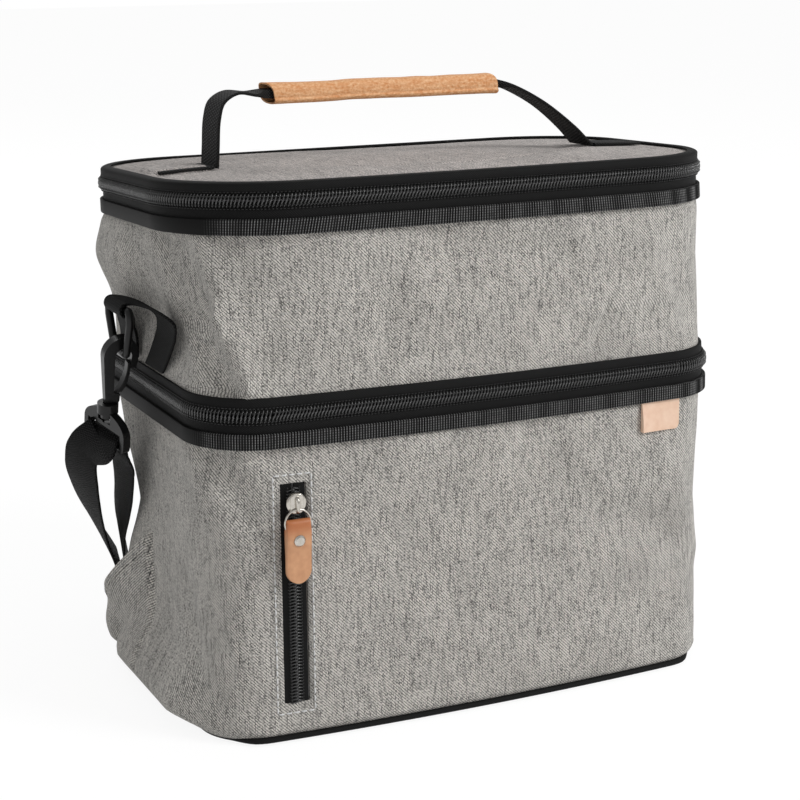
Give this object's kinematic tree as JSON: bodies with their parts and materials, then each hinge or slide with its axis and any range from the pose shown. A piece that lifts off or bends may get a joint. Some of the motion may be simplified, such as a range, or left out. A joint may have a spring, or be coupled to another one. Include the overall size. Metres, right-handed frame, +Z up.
{
  "type": "insulated lunch bag",
  "caption": "Soft insulated lunch bag: a zipped upper compartment tilts back off the lower one, with a lid, wrapped handle, front and side pockets and a clip-on shoulder strap.",
  "frame": {"origin": "middle of the flat base, on the surface that the bag stands on", "axes": "+Z up, +X to the wearer's right along the bag's length, -Y to the front with the zipped pocket, so +Y is the back with the fabric hinges"},
  "size_m": [0.3346, 0.2227, 0.2918],
  "materials": {
    "grey_fabric": "matte melange twill",
    "black_webbing": "woven webbing and zip tape",
    "black_plastic": "moulded, satin",
    "zip_coil": "coil teeth",
    "white_foam": "closed-cell foam sheet",
    "silver_liner": "wipe-clean foil-faced film",
    "nickel": "polished nickel plate",
    "tan_leather": "smooth tan leather",
    "cork_wrap": "cork-faced wrap",
    "label_leather": "smooth, bare"
  },
  "bodies": {
    "lower": {"lower_shell": "grey_fabric", "lower_insulation": "white_foam", "lower_liner": "silver_liner", "pocket_pouch": "grey_fabric", "base_piping": "black_webbing", "pocket_zip_tape_left": "black_webbing", "pocket_zip_coil_left": "zip_coil", "pocket_zip_tape_right": "black_webbing", "pocket_zip_coil_right": "zip_coil", "left_pocket": "grey_fabric", "right_pocket": "grey_fabric", "label": "label_leather", "lower_band": "black_webbing", "mid_zip_tape_below": "black_webbing", "mid_zip_coil_below": "zip_coil", "mid_hinge_below": "black_webbing"},
    "pocket_slider": {"pocket_slider": "nickel"},
    "pocket_pull": {"pocket_ring": "nickel", "pocket_tab": "tan_leather", "pocket_rivet": "nickel"},
    "mid_slider": {"mid_slider": "black_plastic"},
    "mid_pull": {"mid_pull": "black_plastic"},
    "upper": {"upper_shell": "grey_fabric", "upper_insulation": "white_foam", "upper_liner": "silver_liner", "upper_band": "black_webbing", "mid_zip_tape_above": "black_webbing", "mid_zip_coil_above": "zip_coil", "mid_hinge_above": "black_webbing", "top_zip_tape_below": "black_webbing", "top_zip_coil_below": "zip_coil", "top_hinge_below": "black_webbing"},
    "top_slider": {"top_slider": "black_plastic"},
    "top_pull": {"top_pull": "black_plastic"},
    "lid": {"lid_liner": "silver_liner", "lid_insulation": "white_foam", "lid_panel": "grey_fabric", "lid_binding": "black_webbing", "top_zip_tape_above": "black_webbing", "top_zip_coil_above": "zip_coil", "top_hinge_above": "black_webbing", "handle_end_left": "black_webbing", "handle_end_right": "black_webbing"},
    "handle": {"handle_webbing": "black_webbing", "handle_wrap": "cork_wrap"},
    "strap_loops": {"left_strap_loop": "black_webbing", "right_strap_loop": "black_webbing"},
    "strap_bail": {"left_ring": "black_plastic", "right_ring": "black_plastic", "shoulder_strap": "black_webbing", "strap_adjuster": "black_plastic"},
    "left_hook": {"left_hook": "black_plastic"},
    "left_gate": {"left_gate": "black_plastic"},
    "left_swivel": {"left_swivel_base": "black_plastic"},
    "right_hook": {"right_hook": "black_plastic"},
    "right_gate": {"right_gate": "black_plastic"},
    "right_swivel": {"right_swivel_base": "black_plastic"}
  },
  "joints": [
    {"name": "pocket_zip_slide", "type": "slide", "parent": "lower", "child": "pocket_slider", "axis": [0, -0.0129, -0.9999], "range_m": [0, 0.088]},
    {"name": "pocket_pull_swing", "type": "hinge", "parent": "pocket_slider", "child": "pocket_pull", "pos_m": [-0.096, -0.09082, 0.1122], "axis": [-1, 0, 0], "range_deg": [0, 120]},
    {"name": "mid_zip_slide", "type": "slide", "parent": "lower", "child": "mid_slider", "axis": [0, -1, 0], "range_m": [0, 0.068]},
    {"name": "mid_pull_swing", "type": "hinge", "parent": "mid_slider", "child": "mid_pull", "pos_m": [0.13935, 0.024, 0.155], "axis": [0, 0, -1], "range_deg": [0, 120]},
    {"name": "upper_tilt", "type": "hinge", "parent": "lower", "child": "upper", "pos_m": [0, 0.0856, 0.155], "axis": [-1, 0, 0], "range_deg": [0, 100]},
    {"name": "top_zip_slide", "type": "slide", "parent": "upper", "child": "top_slider", "axis": [0, -0.9988, 0.0496], "range_m": [0, 0.044]},
    {"name": "top_pull_swing", "type": "hinge", "parent": "top_slider", "child": "top_pull", "pos_m": [0.14425, 0.024, 0.2443], "axis": [0, -0.0496, -0.9988], "range_deg": [0, 170]},
    {"name": "lid_hinge", "type": "hinge", "parent": "upper", "child": "lid", "pos_m": [0, 0.0841, 0.2414], "axis": [-1, 0, 0], "range_deg": [0, 110]},
    {"name": "handle_fold", "type": "hinge", "parent": "lid", "child": "handle", "pos_m": [0, 0, 0.2546], "axis": [1, 0, 0], "range_deg": [-70, 70], "deforming": ["handle_webbing"]},
    {"name": "loops_stay_upright", "type": "hinge", "parent": "upper", "child": "strap_loops", "pos_m": [0, 0, 0.165], "axis": [-1, 0, 0], "range_deg": [-100, 0], "deforming": ["left_strap_loop", "right_strap_loop"]},
    {"name": "strap_swing", "type": "hinge", "parent": "strap_loops", "child": "strap_bail", "pos_m": [0, 0, 0.192], "axis": [1, 0, 0], "range_deg": [0, 150], "deforming": ["shoulder_strap"]},
    {"name": "left_hook_swing", "type": "hinge", "parent": "strap_bail", "child": "left_hook", "pos_m": [-0.1465, -0.002, 0.1705], "axis": [0, 1, 0], "range_deg": [0, 70]},
    {"name": "left_gate_spring", "type": "hinge", "parent": "left_hook", "child": "left_gate", "pos_m": [-0.1481, 0.002, 0.1516], "axis": [0, -0.9781, -0.2079], "range_deg": [0, 20], "stiffness_Nm_per_rad": 0.003},
    {"name": "left_swivel_turn", "type": "hinge", "parent": "left_hook", "child": "left_swivel", "pos_m": [-0.15265, 0.0037, 0.1436], "axis": [0, -0.2079, 0.9781], "continuous": true},
    {"name": "right_hook_swing", "type": "hinge", "parent": "strap_bail", "child": "right_hook", "pos_m": [0.1465, -0.002, 0.1705], "axis": [0, -1, 0], "range_deg": [0, 70]},
    {"name": "right_gate_spring", "type": "hinge", "parent": "right_hook", "child": "right_gate", "pos_m": [0.1481, 0.002, 0.1516], "axis": [0, 0.9781, 0.2079], "range_deg": [0, 20], "stiffness_Nm_per_rad": 0.003},
    {"name": "right_swivel_turn", "type": "hinge", "parent": "right_hook", "child": "right_swivel", "pos_m": [0.15265, 0.0037, 0.1436], "axis": [0, -0.2079, 0.9781], "continuous": true}
  ],
  "couplings": [
    {"joint": "loops_stay_upright", "follows": "upper_tilt", "ratio": -1}
  ]
}
